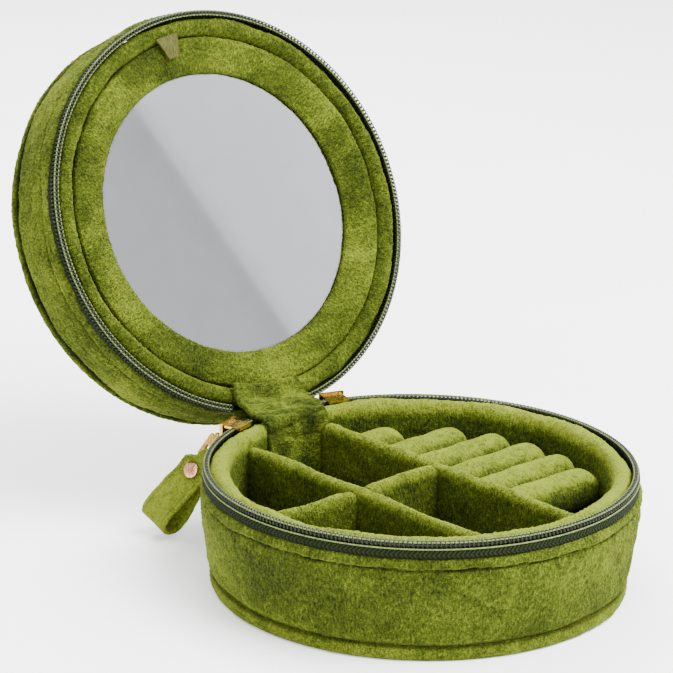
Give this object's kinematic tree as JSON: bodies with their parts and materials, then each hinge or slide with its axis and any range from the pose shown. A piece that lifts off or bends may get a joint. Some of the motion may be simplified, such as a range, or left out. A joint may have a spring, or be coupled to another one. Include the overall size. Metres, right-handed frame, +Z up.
{
  "type": "travel jewelry case",
  "caption": "Round soft travel jewelry case, shown open: velvet base with dividers and padded ring rolls, zip round the rim, and a hinged lid with an inset mirror and strap pulls.",
  "frame": {"origin": "middle of the base's flat underside, where the case rests", "axes": "+Z up out of the open base, +Y towards the lid hinge, +X along the hinge line to the right as the mirror is faced"},
  "size_m": [0.1146, 0.1862, 0.1336],
  "materials": {
    "velvet": "crushed velvet with a short nap",
    "lining_velvet": "short-nap velvet, in shade",
    "greyboard": "pressed greyboard",
    "zip_tape": "herringbone woven tape",
    "zip_teeth": "moulded nylon coil",
    "satin_tab": "smooth satin-faced ribbon",
    "mirror": "silvered glass",
    "gold": "polished gold plate",
    "rose_gold": "polished rose-gold plate"
  },
  "bodies": {
    "base": {"base_bottom_panel": "velvet", "base_bottom_welt": "velvet", "base_outer_wall": "velvet", "base_floor_board": "greyboard", "base_wall_board": "greyboard", "base_rim_liner": "velvet", "base_floor_pad": "lining_velvet", "base_zip_tape": "zip_tape", "base_zip_teeth": "zip_teeth", "ring_side_divider": "velvet", "long_divider": "velvet", "cross_divider_middle": "velvet", "cross_divider_side": "velvet", "ring_bed": "lining_velvet", "ring_roll_1": "velvet", "ring_roll_2": "velvet", "ring_roll_3": "velvet", "ring_roll_4": "velvet", "ring_roll_5": "velvet", "ring_roll_6": "velvet", "hinge_strip": "velvet", "hinge_gusset": "velvet"},
    "lid": {"lid_outer_wall": "velvet", "lid_cap_welt": "velvet", "lid_cap_board": "greyboard", "lid_cap_panel": "velvet", "lid_wall_board": "greyboard", "lid_rim_liner": "velvet", "lid_storage_lining": "lining_velvet", "lid_zip_tape": "zip_tape", "lid_zip_teeth": "zip_teeth", "mirror_stop_ring": "lining_velvet"},
    "mirror_panel": {"mirror_surround": "velvet", "mirror_glass": "mirror", "mirror_backing": "lining_velvet", "mirror_pull_tab": "satin_tab"},
    "slider_left": {"slider_body_left": "gold"},
    "slider_right": {"slider_body_right": "gold"},
    "pull_left": {"pull_ring_left": "gold", "pull_strap_left": "velvet", "strap_rivet_left": "rose_gold"},
    "pull_right": {"pull_ring_right": "gold", "pull_strap_right": "velvet", "strap_rivet_right": "rose_gold"}
  },
  "joints": [
    {"name": "lid_hinge", "type": "hinge", "parent": "base", "child": "lid", "pos_m": [0, 0.058, 0.0305], "axis": [1, 0, 0], "range_deg": [0, 114.2], "deforming": ["hinge_strip", "hinge_gusset"]},
    {"name": "mirror_panel_hinge", "type": "hinge", "parent": "lid", "child": "mirror_panel", "pos_m": [0, 0.06661, 0.03649], "axis": [-1, 0, 0], "range_deg": [-40, 0]},
    {"name": "slider_left_travel", "type": "hinge", "parent": "base", "child": "slider_left", "pos_m": [0, 0, 0.0326], "axis": [0, 0, 1], "range_deg": [0, 125]},
    {"name": "slider_right_travel", "type": "hinge", "parent": "base", "child": "slider_right", "pos_m": [0, 0, 0.0326], "axis": [0, 0, -1], "range_deg": [0, 125]},
    {"name": "pull_left_swing", "type": "hinge", "parent": "slider_left", "child": "pull_left", "pos_m": [-0.02448, 0.0574, 0.027], "axis": [-0.123, 0.9108, 0.3941], "range_deg": [-25, 45]},
    {"name": "pull_right_swing", "type": "hinge", "parent": "slider_right", "child": "pull_right", "pos_m": [0.01499, 0.06057, 0.027], "axis": [0.0242, -0.9187, -0.3941], "range_deg": [-25, 45]}
  ]
}
